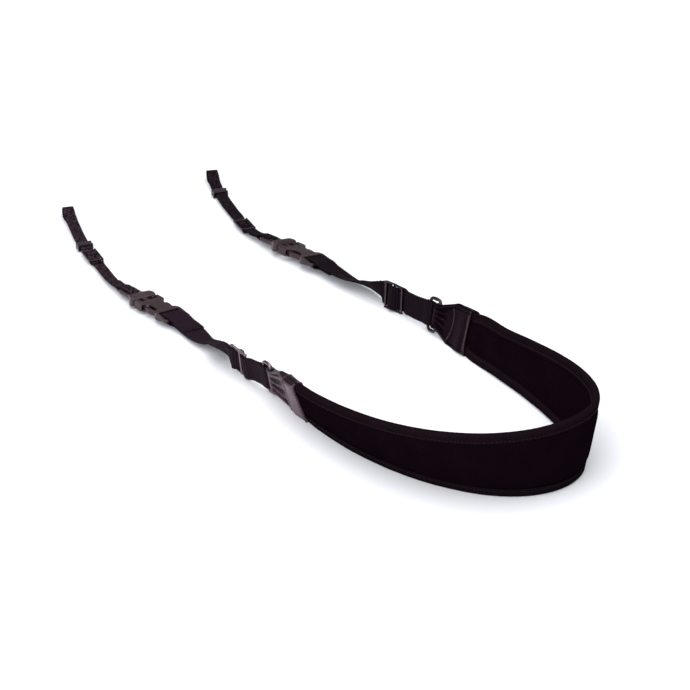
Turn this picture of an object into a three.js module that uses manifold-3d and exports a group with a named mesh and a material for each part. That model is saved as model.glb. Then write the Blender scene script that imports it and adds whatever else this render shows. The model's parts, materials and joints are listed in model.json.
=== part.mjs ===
// Camera neck strap, laid on a table: a contoured neck pad stands on its long edge in a U, and
// each end runs out through a leather tab, a ring, wide webbing, a side-release buckle and
// narrow webbing to an end loop.
//
// Millimetres, +Z up.  +X points to the bend of the U, the near side is at -Y.  The origin is on
// the table under the middle of the strap's bounding box.
//
// Every piece is drawn flat in strap coordinates and then laid along one route:
//   d  distance from the end of the pad, outwards along one side
//   u  across the strap's width
//   v  through its thickness, positive on the face that looks out of the loop
import * as THREE from 'three';
import { mergeVertices } from 'three/addons/utils/BufferGeometryUtils.js';
import Module from 'manifold-3d';

const wasm = await Module();
wasm.setup();

// ---------------------------------------------------------------- driving dimensions
const GAP = 0.3; // clearance between pieces that touch
const ORIGIN = { x: 0.8, y: -4 }; // middle of the bounding box in the route's coordinates

const WIDE = { width: 21, thickness: 1.2 }; // webbing next to the pad
const NARROW = { width: 10, thickness: 1.1 }; // webbing that ties to the camera
const LAYER_GAP = 0.3; // between two layers of webbing

const PAD = { thickness: 6, bound: 4.2, tucked: 12, lift: 0.45, steps: 38 };
const BINDING = { thickness: 0.7, depth: 8 };

const TAB = { thickness: 1.3, overhang: 1, barWidth: 21.6, seam: 14 };
const RING = { rod: 1.4, pitch: 11, corner: 3, spare: 2.1, slack: 2 };

const WIDE_GLIDE = { bar: 1.1, pitch: 9.8, rail: 1.3, weave: -1, fade: 8 };
const NARROW_GLIDE = { bar: 0.9, pitch: 10.5, rail: 1.4, fade: 6 };
const KEEPER = { length: 7.5, wall: 1.1 };

const BUCKLE = {
  length: 76, wideHalf: 13.3, waistHalf: 7, mouthHalf: 12.4, narrowHalf: 7.6,
  mouthThick: 7.6, barThick: 3.2, bar: 1.6, wideBar: 10.3, slotEnd: 14.4, plateEnd: 40,
  notchHalf: 8.4, mouth: 46.5, baseStart: 48, slotStart: 60.6, narrowBar: 64.8,
  cavityHalf: 10.8, cavityThick: 4.8, prong: 2.2, prongThick: 4.2,
};
const LOOP = { radius: 4.2, length: 22 }; // eye at the very end of the narrow webbing
const SEWN = { wide: 22, narrow: 18 }; // webbing sewn back beyond each end of the buckle

// where each piece sits along its side, as distance d from the end of the pad; ringShift is how
// far the loose ring has slipped upwards
const SIDES = [
  {
    name: 'near', sign: -1, mouth: -4, tab: 45, ringShift: 0.4, glide: 90, buckle: 202,
    slider: 357, keeper: 379, end: 457, sliderWeave: -1,
  },
  {
    name: 'far', sign: 1, mouth: 0, tab: 49, ringShift: 0, glide: 105, buckle: 205,
    slider: 319, keeper: 393, end: 436, sliderWeave: 1,
  },
];

// ---------------------------------------------------------------- the route
// Middle of the strap from the near end loop, round the pad, to the far end loop.  roll is the
// turn of the width from level: 90 stands on edge, 0 and 180 lie flat.
const NEAR_ROUTE = [
  { x: -337, y: -33, z: 5.0, roll: 180 },
  { x: -315, y: -43, z: 4.0, roll: 180 },
  { x: -291, y: -53.5, z: 3.0, roll: 180 },
  { x: -266, y: -64, z: 3.6, roll: 180 },
  { x: -240, y: -72, z: 3.9, roll: 180 },
  { x: -215, y: -79.5, z: 3.8, roll: 180 },
  { x: -190, y: -87, z: 4.6, roll: 178 },
  { x: -170, y: -90, z: 5.6, roll: 175 },
  { x: -148, y: -90, z: 5.5, roll: 175 },
  { x: -112, y: -89.5, z: 5.4, roll: 175 },
  { x: -88, y: -89, z: 5.2, roll: 175 },
  { x: -70, y: -89.5, z: 3.6, roll: 179 },
  { x: -50, y: -92.3, z: 3.2, roll: 169 },
  { x: -31, y: -92, z: 7.0, roll: 165.5 },
  { x: -14, y: -100.3, z: 10.7, roll: 147 },
  { x: 4, y: -104, z: 14.1, roll: 105 },
  { x: 28, y: -105.3, z: 12.6, roll: 101 },
  { x: 57, y: -106, z: 14.9, roll: 99 },
  { x: 83, y: -109.5, z: 16.0, roll: 106 },
];
// On the pad z follows from the width and the lean.
const PAD_ROUTE = [
  { x: 107, y: -113.5, width: 36, lean: 19 },
  { x: 142, y: -118.5, width: 41, lean: 18 },
  { x: 183, y: -120, width: 46.5, lean: 18 },
  { x: 229, y: -115, width: 52.5, lean: 18 },
  { x: 270, y: -103, width: 59, lean: 18 },
  { x: 303, y: -83, width: 63, lean: 15 },
  { x: 324, y: -56, width: 65, lean: 11 },
  { x: 331, y: -26, width: 66, lean: 9 },
  { x: 323, y: 3, width: 65, lean: 9 },
  { x: 300, y: 25, width: 62, lean: 10 },
  { x: 268, y: 41, width: 58, lean: 12 },
  { x: 232, y: 52, width: 53, lean: 14 },
  { x: 193, y: 60, width: 47, lean: 16 },
  { x: 151, y: 66, width: 41, lean: 20 },
  { x: 108, y: 71, width: 37, lean: 21 },
];
const FAR_ROUTE = [
  { x: 83, y: 72.5, z: 16.2, roll: 109 },
  { x: 57, y: 73, z: 15.7, roll: 105 },
  { x: 35, y: 73, z: 13.7, roll: 97 },
  { x: 14, y: 73, z: 12.7, roll: 94 },
  { x: -6, y: 71.5, z: 12.2, roll: 97 },
  { x: -20, y: 72, z: 10.3, roll: 59 },
  { x: -32, y: 73.4, z: 8.3, roll: 45 },
  { x: -44, y: 73.3, z: 6.5, roll: 30 },
  { x: -58, y: 72.2, z: 5.7, roll: 21 },
  { x: -74, y: 73, z: 5.6, roll: 15 },
  { x: -92, y: 73.8, z: 6.2, roll: 11 },
  { x: -114, y: 72.8, z: 6.4, roll: 11 },
  { x: -152, y: 70, z: 6.7, roll: 11 },
  { x: -173, y: 68.2, z: 6.3, roll: 11 },
  { x: -189, y: 68, z: 5, roll: 6 },
  { x: -207, y: 72.5, z: 4, roll: 0 },
  { x: -233, y: 81, z: 3.5, roll: 0 },
  { x: -261, y: 91, z: 3.2, roll: 0 },
  { x: -288, y: 102, z: 3.9, roll: 0 },
  { x: -313, y: 115, z: 5.0, roll: 0 },
];

const rad = THREE.MathUtils.degToRad;
const mix = THREE.MathUtils.lerp;

function padStation({ x, y, width, lean }) {
  const z = (width / 2) * Math.cos(rad(lean)) + PAD.lift;
  return { x, y, z, roll: 90 + lean, width };
}

function smooth(edge0, edge1, x) {
  const t = Math.min(1, Math.max(0, (x - edge0) / (edge1 - edge0)));
  return t * t * (3 - 2 * t);
}

// Cubic through four evenly spaced values, between b and c.
function cubic(a, b, c, d, t) {
  const k1 = (c - a) / 2;
  const k2 = a - 2.5 * b + 2 * c - d / 2;
  const k3 = (d - a) / 2 + 1.5 * (b - c);
  return b + t * (k1 + t * (k2 + t * k3));
}

// Samples of the route: point, roll, pad width and distance s from the near end.
function sampleRoute(rows, perSpan) {
  const curve = new THREE.CatmullRomCurve3(
    rows.map((r) => new THREE.Vector3(r.x - ORIGIN.x, r.y - ORIGIN.y, r.z)), false, 'centripetal');
  const last = rows.length - 1;
  const value = (i, key) => rows[Math.min(last, Math.max(0, i))][key] ?? 0;
  const samples = [];
  for (let k = 0; k <= last * perSpan; k += 1) {
    const t = k / perSpan;
    const i = Math.min(last - 1, Math.floor(t));
    const along = (key) =>
      cubic(value(i - 1, key), value(i, key), value(i + 1, key), value(i + 2, key), t - i);
    const point = curve.getPoint(t / last);
    const before = samples.at(-1);
    const s = before ? before.s + point.distanceTo(before.point) : 0;
    samples.push({ s, point, roll: along('roll'), width: along('width') });
  }
  return samples;
}

const PER_SPAN = 24;
const ROWS = [...NEAR_ROUTE, ...PAD_ROUTE.map(padStation), ...FAR_ROUTE];
const ROUTE = sampleRoute(ROWS, PER_SPAN);
const PAD_START = ROUTE[NEAR_ROUTE.length * PER_SPAN].s;
const PAD_END = ROUTE[(NEAR_ROUTE.length + PAD_ROUTE.length - 1) * PER_SPAN].s;
const PAD_LENGTH = PAD_END - PAD_START;

function sampleAt(s) {
  let low = 0;
  let high = ROUTE.length - 1;
  while (high - low > 1) {
    const middle = (low + high) >> 1;
    if (ROUTE[middle].s > s) high = middle;
    else low = middle;
  }
  const a = ROUTE[low];
  const b = ROUTE[high];
  const t = (s - a.s) / (b.s - a.s); // runs on straight past either end
  return {
    point: a.point.clone().lerp(b.point, t),
    roll: mix(a.roll, b.roll, t),
    width: mix(a.width, b.width, t),
  };
}

// Point and directions of the strap at distance s: w across, n out through its thickness.
function frameAt(s) {
  const { point, roll, width } = sampleAt(s);
  const ahead = sampleAt(s + 1).point.sub(sampleAt(s - 1).point).normalize();
  const left = new THREE.Vector3(-ahead.y, ahead.x, 0).normalize();
  const up = ahead.clone().cross(left);
  const [c, k] = [Math.cos(rad(roll)), Math.sin(rad(roll))];
  const w = left.clone().multiplyScalar(c).addScaledVector(up, k);
  const n = left.multiplyScalar(-k).addScaledVector(up, c);
  return { point, w, n, width };
}

function place(s, u, v) {
  const { point, w, n } = frameAt(s);
  return point.addScaledVector(w, u).addScaledVector(n, v);
}

// Soft parts flatten where they rest on the table.
function rest(p) {
  p.z = Math.max(p.z, 0);
  return p;
}

const padPlace = (s, u, v) => rest(place(PAD_START + s, u, v));
const hard = (side) => (d, u, v) => place(side.sign < 0 ? PAD_START - d : PAD_END + d, u, v);
const soft = (side) => (d, u, v) => rest(hard(side)(d, u, v));

// ---------------------------------------------------------------- mesh helpers
// Closed mesh from points and triangles, turned so that its faces look out.
function solid(points, triangles) {
  let volume = 0;
  for (const [a, b, c] of triangles) {
    volume += points[a].dot(points[b].clone().cross(points[c]));
  }
  const faces = volume < 0 ? triangles.map(([a, b, c]) => [a, c, b]) : triangles;
  const geometry = new THREE.BufferGeometry();
  geometry.setAttribute('position',
    new THREE.Float32BufferAttribute(points.flatMap((p) => [p.x, p.y, p.z]), 3));
  geometry.setIndex(faces.flat());
  geometry.computeVertexNormals();
  return geometry;
}

function quad(triangles, a, b, c, d) {
  triangles.push([a, b, c], [a, c, d]);
}

// Solid through closed sections of equal point counts, with a flat cap at each end.
function loft(sections) {
  const count = sections[0].length;
  const points = sections.flat();
  const triangles = [];
  for (let i = 0; i + 1 < sections.length; i += 1) {
    for (let j = 0; j < count; j += 1) {
      const k = (j + 1) % count;
      quad(triangles, i * count + j, i * count + k, (i + 1) * count + k, (i + 1) * count + j);
    }
  }
  for (let j = 1; j + 1 < count; j += 1) triangles.push([0, j + 1, j]);
  const base = (sections.length - 1) * count;
  for (let j = 1; j + 1 < count; j += 1) triangles.push([base, base + j, base + j + 1]);
  return solid(points, triangles);
}

// Solid ring through closed sections that join end to end.
function hoop(sections) {
  const count = sections[0].length;
  const triangles = [];
  sections.forEach((_, i) => {
    const next = ((i + 1) % sections.length) * count;
    for (let j = 0; j < count; j += 1) {
      const k = (j + 1) % count;
      quad(triangles, i * count + j, i * count + k, next + k, next + j);
    }
  });
  return solid(sections.flat(), triangles);
}

// Sheet of one thickness along a path of {d, v} points.  half(p) is half its width there,
// across lists the places of its columns from -1 to 1, and relief(p, column) lifts its outside.
function sheet(at, path, thickness, half, across = [-1, 1], relief = () => 0) {
  const points = [];
  const columns = across.length;
  path.forEach((p, i) => {
    const before = path[Math.max(0, i - 1)];
    const after = path[Math.min(path.length - 1, i + 1)];
    const length = Math.hypot(after.d - before.d, after.v - before.v);
    const normal = [-(after.v - before.v) / length, (after.d - before.d) / length];
    for (const side of [1, -1]) {
      for (const c of across) {
        const off = side * (thickness / 2) + (side === 1 ? relief(p, c) : 0);
        points.push(at(p.d + normal[0] * off, c * half(p), p.v + normal[1] * off));
      }
    }
  });
  const triangles = [];
  const row = 2 * columns;
  const rim = [...Array(columns).keys(), ...Array.from({ length: columns }, (_, i) => row - 1 - i)];
  for (let i = 0; i + 1 < path.length; i += 1) {
    rim.forEach((a, j) => {
      const b = rim[(j + 1) % row];
      quad(triangles, i * row + a, i * row + b, (i + 1) * row + b, (i + 1) * row + a);
    });
  }
  const end = (path.length - 1) * row;
  for (let j = 0; j + 1 < columns; j += 1) {
    quad(triangles, j, columns + j, columns + j + 1, j + 1);
    quad(triangles, end + j, end + j + 1, end + columns + j + 1, end + columns + j);
  }
  return solid(points, triangles);
}

function toManifold(geometry) {
  const bare = geometry.clone();
  bare.deleteAttribute('normal');
  bare.deleteAttribute('uv');
  const merged = mergeVertices(bare, 1e-5);
  return new wasm.Manifold(new wasm.Mesh({
    numProp: 3,
    vertProperties: new Float32Array(merged.attributes.position.array),
    triVerts: new Uint32Array(merged.index.array),
  }));
}

// Flat solid in strap coordinates, split along d so that it can follow the route.
function layFlat(manifold, at) {
  const mesh = manifold.getMesh();
  const points = [];
  for (let i = 0; i < mesh.vertProperties.length; i += mesh.numProp) {
    const [d, u, v] = mesh.vertProperties.slice(i, i + 3);
    points.push(at(d, u, v));
  }
  const triangles = [];
  for (let i = 0; i < mesh.triVerts.length; i += 3) {
    triangles.push([...mesh.triVerts.slice(i, i + 3)]);
  }
  return solid(points, triangles);
}

// Outline [[d, u], ...] made solid from v = -half to v = half.
function plate(outline, half) {
  const shape = new THREE.Shape(outline.map(([d, u]) => new THREE.Vector2(d, u)));
  const geometry = new THREE.ExtrudeGeometry(shape, { depth: 2 * half, bevelEnabled: false });
  return toManifold(geometry.translate(0, 0, -half));
}

// Side view [[d, v], ...] made solid from u = -half to u = half.
function profile(outline, half) {
  const shape = new THREE.Shape(outline.map(([d, v]) => new THREE.Vector2(d, -v)));
  const geometry = new THREE.ExtrudeGeometry(shape, { depth: 2 * half, bevelEnabled: false });
  return toManifold(geometry.translate(0, 0, -half).rotateX(-Math.PI / 2));
}

function box(d0, d1, u0, u1, v0, v1) {
  const geometry = new THREE.BoxGeometry(d1 - d0, u1 - u0, v1 - v0);
  return toManifold(geometry.translate((d0 + d1) / 2, (u0 + u1) / 2, (v0 + v1) / 2));
}

// Round rod of radius r across the strap at distance d, u from -half to half.
function rod(d, r, half, sides = 10) {
  const geometry = new THREE.CylinderGeometry(r, r, 2 * half, sides);
  return toManifold(geometry.translate(d, 0, 0));
}

// Mirrors half an outline, given from one end to the other at u > 0, across u = 0.
function mirrored(half) {
  return [...half, ...half.map(([d, u]) => [d, -u]).reverse()];
}

// ---------------------------------------------------------------- the pad
// Half section of the pad from its middle to its edge: [share of the way, half thickness].
function padHalfThickness(u, half) {
  const bound = half - BINDING.depth;
  const puffed = PAD.thickness / 2 + 0.5;
  const pinched = PAD.bound / 2;
  return mix(puffed, pinched, smooth(bound - 6, bound, Math.abs(u)));
}

// The ends tucked into the leather tabs are pressed thinner.
function tucked(s) {
  const inside = Math.min(s, PAD_LENGTH - s);
  return mix(1, 0.72, smooth(-18, PAD.tucked, -inside));
}

// Distances of the pad's sections, from short of one end of it to short of the other.
function padSections(short) {
  const start = -PAD.tucked;
  const length = PAD_LENGTH + 2 * PAD.tucked;
  return Array.from({ length: PAD.steps + 1 }, (_, i) => {
    const x = i / PAD.steps;
    const s = start + length * (x + 0.08 * Math.sin(2 * Math.PI * x)); // closer at the bend
    return Math.min(start + length - short, Math.max(start + short, s));
  });
}

function padCore() {
  const sections = [];
  for (const s of padSections(0)) {
    const half = padWidth(s) / 2 - BINDING.thickness - GAP;
    const press = tucked(s);
    const stops = [-1, -0.82, -0.55, 0, 0.55, 0.82, 1].map((k) => {
      const edge = k * half;
      if (Math.abs(k) === 1) return [edge, 0.3 * (PAD.bound / 2)];
      const u = Math.abs(k) > 0.8 ? Math.sign(k) * (half - BINDING.depth + 1) : edge;
      return [u, padHalfThickness(u, half + BINDING.thickness + GAP)];
    });
    const front = stops.map(([u, v]) => padPlace(s, u, v * press));
    const back = stops.map(([u, v]) => padPlace(s, u, -v * press)).reverse();
    sections.push([...front, ...back]);
  }
  return loft(sections);
}

function padWidth(s) {
  return sampleAt(PAD_START + Math.min(PAD_LENGTH, Math.max(0, s))).width;
}

// Tape folded over one long edge: side = 1 is the upper edge, -1 the lower.
function padBinding(side) {
  const sections = [];
  const inner = PAD.bound / 2 + GAP;
  const outer = inner + BINDING.thickness;
  for (const s of padSections(1)) {
    const edge = padWidth(s) / 2;
    const press = tucked(s);
    const open = edge - BINDING.depth;
    const fold = edge - BINDING.thickness;
    const section = [
      [open, outer], [edge - 2, outer], [edge, outer * 0.45], [edge, -outer * 0.45],
      [edge - 2, -outer], [open, -outer], [open, -inner], [fold - 1.6, -inner],
      [fold, -inner * 0.4], [fold, inner * 0.4], [fold - 1.6, inner], [open, inner],
    ];
    sections.push(section.map(([u, v]) => {
      const p = padPlace(s, side * u, v * press);
      if (side < 0 && u === edge) p.z = 0; // the lower fold is pressed flat on the table
      return p;
    }));
  }
  return closedChannel(sections);
}

// Like loft, for a U section: its caps are strips between the outside and the inside.
function closedChannel(sections) {
  const count = sections[0].length;
  const triangles = [];
  for (let i = 0; i + 1 < sections.length; i += 1) {
    for (let j = 0; j < count; j += 1) {
      const k = (j + 1) % count;
      quad(triangles, i * count + j, i * count + k, (i + 1) * count + k, (i + 1) * count + j);
    }
  }
  const base = (sections.length - 1) * count;
  for (let j = 0; j + 1 < count / 2; j += 1) {
    const [a, b, c, d] = [j, j + 1, count - 2 - j, count - 1 - j];
    quad(triangles, a, d, c, b);
    quad(triangles, base + a, base + b, base + c, base + d);
  }
  return solid(sections.flat(), triangles);
}

// ---------------------------------------------------------------- webbing, tab and hardware
// Half circle of {d, v} points round a bar at d = centre, bulging towards sign, from v = r
// to v = -r (or back, when flip is set).
function turn(centre, r, sign, flip = false) {
  const steps = 6;
  const points = [];
  for (let i = 0; i <= steps; i += 1) {
    const angle = (Math.PI * i) / steps;
    points.push({ d: centre + sign * r * Math.sin(angle), v: r * Math.cos(angle) });
  }
  return flip ? points.reverse() : points;
}

function run(from, to, step, v) {
  const count = Math.max(1, Math.round(Math.abs(to - from) / step));
  return Array.from({ length: count + 1 }, (_, i) => {
    const d = mix(from, to, i / count);
    return { d, v: v(d) };
  });
}

// Middle line of two layers woven under and over the three bars of a glide.
function weaveHeight(d, glide, at, amplitude, weave) {
  const away = Math.abs(d - at) - glide.pitch;
  const wave = away <= 0
    ? weave * Math.cos((Math.PI * (d - at)) / glide.pitch)
    : -weave * (1 - smooth(0, glide.fade, away));
  return amplitude * wave;
}

function amplitudeOf(glide, web) {
  return glide.bar + GAP + web.thickness + LAYER_GAP / 2;
}

// Moves every point of a path sideways by off.
function offset(path, off) {
  return path.map((p, i) => {
    const a = path[Math.max(0, i - 1)];
    const b = path[Math.min(path.length - 1, i + 1)];
    const length = Math.hypot(b.d - a.d, b.v - a.v);
    return { d: p.d - (off * (b.v - a.v)) / length, v: p.v + (off * (b.d - a.d)) / length };
  });
}

function wideWebbing(side) {
  const layer = (WIDE.thickness + LAYER_GAP) / 2;
  const bar = side.buckle + BUCKLE.wideBar;
  const wrap = BUCKLE.bar + GAP + WIDE.thickness / 2;
  const ringBar = side.tab + RING.pitch - 2 * RING.slack;
  const ringWrap = RING.rod + GAP + WIDE.thickness / 2;
  const amplitude = amplitudeOf(WIDE_GLIDE, WIDE);
  const middle = (d) => weaveHeight(d, WIDE_GLIDE, side.glide, amplitude, WIDE_GLIDE.weave);
  const toBuckle = (d) => mix(layer, wrap, smooth(side.buckle - 9, side.buckle - 0.5, d));
  const toRing = (d) =>
    mix(ringWrap - layer, 0, smooth(ringBar + RING.slack, ringBar + RING.slack + 9, d));
  const doubled = [
    ...run(ringBar + 1, side.glide - 19, 3, middle),
    ...run(side.glide - 17, side.glide + 18, 1.4, middle),
  ];
  const outer = offset(doubled, layer).map((p) => ({ d: p.d, v: p.v + toRing(p.d) })).reverse();
  const tail = doubled.filter((p) => p.d < side.glide + 17);
  const inner = offset(tail, -layer).map((p) => ({ d: p.d, v: p.v - toRing(p.d) }));
  const path = [
    ...run(side.buckle - SEWN.wide, bar - 1, 3, (d) => -toBuckle(d)),
    ...turn(bar, wrap, 1, true),
    ...run(bar - 1, side.glide + 21, 5, toBuckle),
    ...outer,
    ...turn(ringBar, ringWrap, -1),
    ...inner,
  ];
  return sheet(soft(side), path, WIDE.thickness, () => WIDE.width / 2);
}

function narrowWebbing(side) {
  const layer = (NARROW.thickness + LAYER_GAP) / 2;
  const bar = side.buckle + BUCKLE.narrowBar;
  const outside = side.buckle + BUCKLE.length + 0.5;
  const wrap = BUCKLE.bar + GAP + NARROW.thickness / 2;
  const eye = side.end - LOOP.radius - NARROW.thickness / 2;
  const amplitude = amplitudeOf(NARROW_GLIDE, NARROW);
  const middle = (d) => weaveHeight(d, NARROW_GLIDE, side.slider, amplitude, side.sliderWeave);
  const toBuckle = (d) => mix(wrap, layer, smooth(outside, outside + 8, d));
  const toEye = (d) => mix(0, LOOP.radius - layer, smooth(eye - LOOP.length, eye, d));
  const woven = run(side.slider - 17, side.slider + 17, 1.3, middle);
  const doubled = [...woven, ...run(side.slider + 19, eye - 0.5, 3, () => 0)];
  const outer = offset(doubled, layer).map((p) => ({ d: p.d, v: p.v + toEye(p.d) }));
  const inner = offset(doubled, -layer).map((p) => ({ d: p.d, v: p.v - toEye(p.d) })).reverse();
  const sewn = Math.min(SEWN.narrow, side.slider - 17 - outside - 4);
  const path = [
    ...run(outside + sewn, bar + 1, 3, (d) => -toBuckle(d)),
    ...turn(bar, wrap, -1, true),
    ...run(bar + 1, side.slider - 19, 3, toBuckle),
    ...outer,
    ...turn(eye, LOOP.radius, 1),
    ...inner,
  ];
  return sheet(soft(side), path, NARROW.thickness, () => NARROW.width / 2);
}

// Leather folded round the ring's bar, with the pad's end between its two layers.
function leatherTab(side) {
  const wrap = RING.rod + GAP + TAB.thickness / 2;
  const mouth = PAD.thickness / 2 + GAP + TAB.thickness / 2;
  const closed = TAB.thickness / 2 + 0.25;
  const height = (d) => {
    const spread = mix(mouth, closed, smooth(PAD.tucked - 5, PAD.tucked + 12, d));
    return mix(spread, wrap, smooth(side.tab - 17, side.tab - RING.slack, d));
  };
  const half = ({ d }) => {
    const full = padWidth(0) / 2 + TAB.overhang;
    return mix(full, TAB.barWidth / 2, Math.min(1, Math.max(0, (d - 20) / (side.tab - 24))));
  };
  // pleats fan out from the ring and run out at the seam
  const pleat = ({ d }, c) => {
    const depth = smooth(TAB.seam, TAB.seam + 8, d) * (1 - smooth(side.tab - 8, side.tab, d));
    return 0.45 * depth * Math.cos(3 * Math.PI * c);
  };
  const front = run(side.mouth, side.tab - 1, 4, height);
  const back = front.map(({ d, v }) => ({ d, v: -v })).reverse();
  const path = [...front, ...turn(side.tab, wrap, 1), ...back];
  const across = Array.from({ length: 7 }, (_, i) => i / 3 - 1);
  return sheet(soft(side), path, TAB.thickness, half, across, pleat);
}

// Rod bent into a rounded rectangle from d0 to d1, half as wide as halfWidth.
function rodFrame(at, d0, d1, halfWidth, corner, rod, sides) {
  const corners = [
    { d: d1 - corner, u: halfWidth - corner, from: 90 },
    { d: d0 + corner, u: halfWidth - corner, from: 180 },
    { d: d0 + corner, u: corner - halfWidth, from: 270 },
    { d: d1 - corner, u: corner - halfWidth, from: 0 },
  ];
  const sections = [];
  for (const { d, u, from } of corners) {
    for (const step of [0, 45, 90]) {
      const a = rad(from - 90 + step);
      const [dd, uu] = [d + corner * Math.cos(a), u + corner * Math.sin(a)];
      sections.push(Array.from({ length: sides }, (_, j) => {
        const b = (2 * Math.PI * (j + 0.5)) / sides;
        const out = rod * Math.cos(b);
        return at(dd + out * Math.cos(a), uu + out * Math.sin(a), rod * Math.sin(b));
      }));
    }
  }
  return hoop(sections);
}

function ring(side) {
  const half = WIDE.width / 2 + RING.rod + RING.spare;
  const at = (d, u, v) => hard(side)(d, u + side.ringShift, v);
  const start = side.tab - RING.slack;
  return rodFrame(at, start, start + RING.pitch, half, RING.corner, RING.rod, 8);
}

// Three-bar glide: a flat frame with two slots, its bars rounded for the webbing.
function glide(at, centre, web, { bar, pitch, rail }) {
  const inner = web.width / 2 + 0.4;
  const halfWidth = inner + rail;
  const reach = pitch + bar;
  const corner = 2;
  const outline = mirrored([
    [centre - reach, halfWidth - corner], [centre - reach + corner, halfWidth],
    [centre + reach - corner, halfWidth], [centre + reach, halfWidth - corner],
  ]);
  const rails = plate(outline, bar).subtract(
    box(centre - reach - 1, centre + reach + 1, -inner, inner, -5, 5));
  const bars = [-1, 0, 1].map((k) => rod(centre + k * pitch, bar, inner + rail / 2));
  return layFlat(bars.reduce((whole, piece) => whole.add(piece), rails), at);
}

function keeper(side) {
  const at = hard(side);
  const half = NARROW.width / 2 + 0.6;
  const tall = NARROW.thickness + LAYER_GAP / 2 + 0.35;
  const [d0, d1] = [side.keeper - KEEPER.length / 2, side.keeper + KEEPER.length / 2];
  const outer = box(d0, d1, -half - KEEPER.wall, half + KEEPER.wall, -tall - 1, tall + 1);
  return layFlat(outer.subtract(box(d0 - 1, d1 + 1, -half, half, -tall, tall)), at);
}

// ---------------------------------------------------------------- side-release buckle
// b runs from the wide end to the narrow end.
function buckleSocket() {
  const B = BUCKLE;
  const halves = mirrored([
    [0, B.wideHalf - 2.4], [0.8, B.wideHalf - 0.8], [2.4, B.wideHalf], [B.slotEnd, B.wideHalf],
    [17, B.wideHalf - 1], [19, B.wideHalf - 2.6], [21.5, B.waistHalf], [31, B.waistHalf],
    [36, B.mouthHalf - 0.6], [38, B.mouthHalf], [B.mouth, B.mouthHalf],
  ]);
  const [thin, thick] = [B.barThick / 2, B.mouthThick / 2];
  const side = [
    [0, thin], [5, thin], [B.slotEnd + 1, thick - 0.6], [22, thick], [B.mouth - 3, thick],
    [B.mouth, thick - 0.7],
  ];
  const body = plate(halves, thick).intersect(profile(mirrored(side), B.wideHalf));
  const webHalf = WIDE.width / 2 + 0.6;
  const slot = box(-1, B.slotEnd, -webHalf, webHalf, -5, 5);
  const cavity = box(B.slotEnd + 4.5, B.mouth + 1, -B.cavityHalf, B.cavityHalf,
    -B.cavityThick / 2, B.cavityThick / 2);
  const notch = box(B.plateEnd, B.mouth + 1, -B.notchHalf, B.notchHalf, -5, 5);
  const frame = body.subtract(slot).subtract(cavity).subtract(notch);
  return [B.bar, B.wideBar].reduce((whole, b) => whole.add(rod(b, B.bar, webHalf + 0.8)), frame);
}

function buckleFork() {
  const B = BUCKLE;
  const [thin, thick] = [B.barThick / 2, B.mouthThick / 2 - 0.3];
  const base = mirrored([
    [B.baseStart, B.mouthHalf - 1], [B.baseStart + 1, B.mouthHalf], [53, B.mouthHalf - 0.2],
    [57.5, B.narrowHalf + 2], [60, B.narrowHalf + 0.4], [62, B.narrowHalf],
    [B.length - 1.5, B.narrowHalf], [B.length, B.narrowHalf - 1.5],
  ]);
  const side = [
    [B.baseStart, thick - 0.7], [B.baseStart + 3, thick + 0.9], [55, thick + 0.9],
    [60.4, thin + 0.6], [64, thin], [B.length, thin],
  ];
  const body = plate(base, thick + 1).intersect(profile(mirrored(side), B.wideHalf));
  const webHalf = NARROW.width / 2 + 0.6;
  const slot = box(B.slotStart, B.length + 1, -webHalf, webHalf, -5, 5);
  const tip = B.cavityHalf - GAP;
  const prong = [
    [B.baseStart + 2, tip - 0.6], [B.baseStart + 2, tip - B.prong - 1],
    [46, tip - B.prong - 0.8], [34, tip - B.prong], [20, tip - B.prong], [20, tip - 1.4],
    [21.5, tip - 0.2], [29, tip + 1.3], [32, tip + 0.9], [32, tip - 0.8],
  ];
  const guide = mirrored([[30, 2], [B.baseStart + 2, 2.6]]);
  const prongs = [prong, prong.map(([b, u]) => [b, -u]).reverse(), guide]
    .map((outline) => plate(outline, B.prongThick / 2));
  const bars = [B.length - B.bar, B.narrowBar].map((b) => rod(b, B.bar, webHalf + 0.8));
  return [...bars, ...prongs].reduce((whole, piece) => whole.add(piece), body.subtract(slot));
}

// ---------------------------------------------------------------- assembly
const neoprene = { color: 0x0d0b10, roughness: 0.95, metalness: 0 };
const tape = { color: 0x151218, roughness: 0.85, metalness: 0 };
const leather = { color: 0x2a2426, roughness: 0.5, metalness: 0 };
const webbing = { color: 0x14121a, roughness: 0.9, metalness: 0 };
const plastic = { color: 0x1b181a, roughness: 0.4, metalness: 0 };

const strap = new THREE.Group();

function add(name, geometry, look) {
  const mesh = new THREE.Mesh(geometry, new THREE.MeshStandardMaterial(look));
  mesh.name = name;
  strap.add(mesh);
}

add('pad_core', padCore(), neoprene);
add('pad_binding_upper', padBinding(1), tape);
add('pad_binding_lower', padBinding(-1), tape);

for (const side of SIDES) {
  const at = hard(side);
  const onBuckle = (b, u, v) => at(side.buckle + b, u, v);
  add(`${side.name}_leather_tab`, leatherTab(side), leather);
  add(`${side.name}_ring`, ring(side), plastic);
  add(`${side.name}_wide_webbing`, wideWebbing(side), webbing);
  add(`${side.name}_wide_triglide`, glide(at, side.glide, WIDE, WIDE_GLIDE), plastic);
  add(`${side.name}_buckle_socket`, layFlat(buckleSocket(), onBuckle), plastic);
  add(`${side.name}_buckle_fork`, layFlat(buckleFork(), onBuckle), plastic);
  add(`${side.name}_narrow_webbing`, narrowWebbing(side), webbing);
  add(`${side.name}_narrow_triglide`, glide(at, side.slider, NARROW, NARROW_GLIDE), plastic);
  add(`${side.name}_keeper`, keeper(side), plastic);
}

export default strap;
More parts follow.
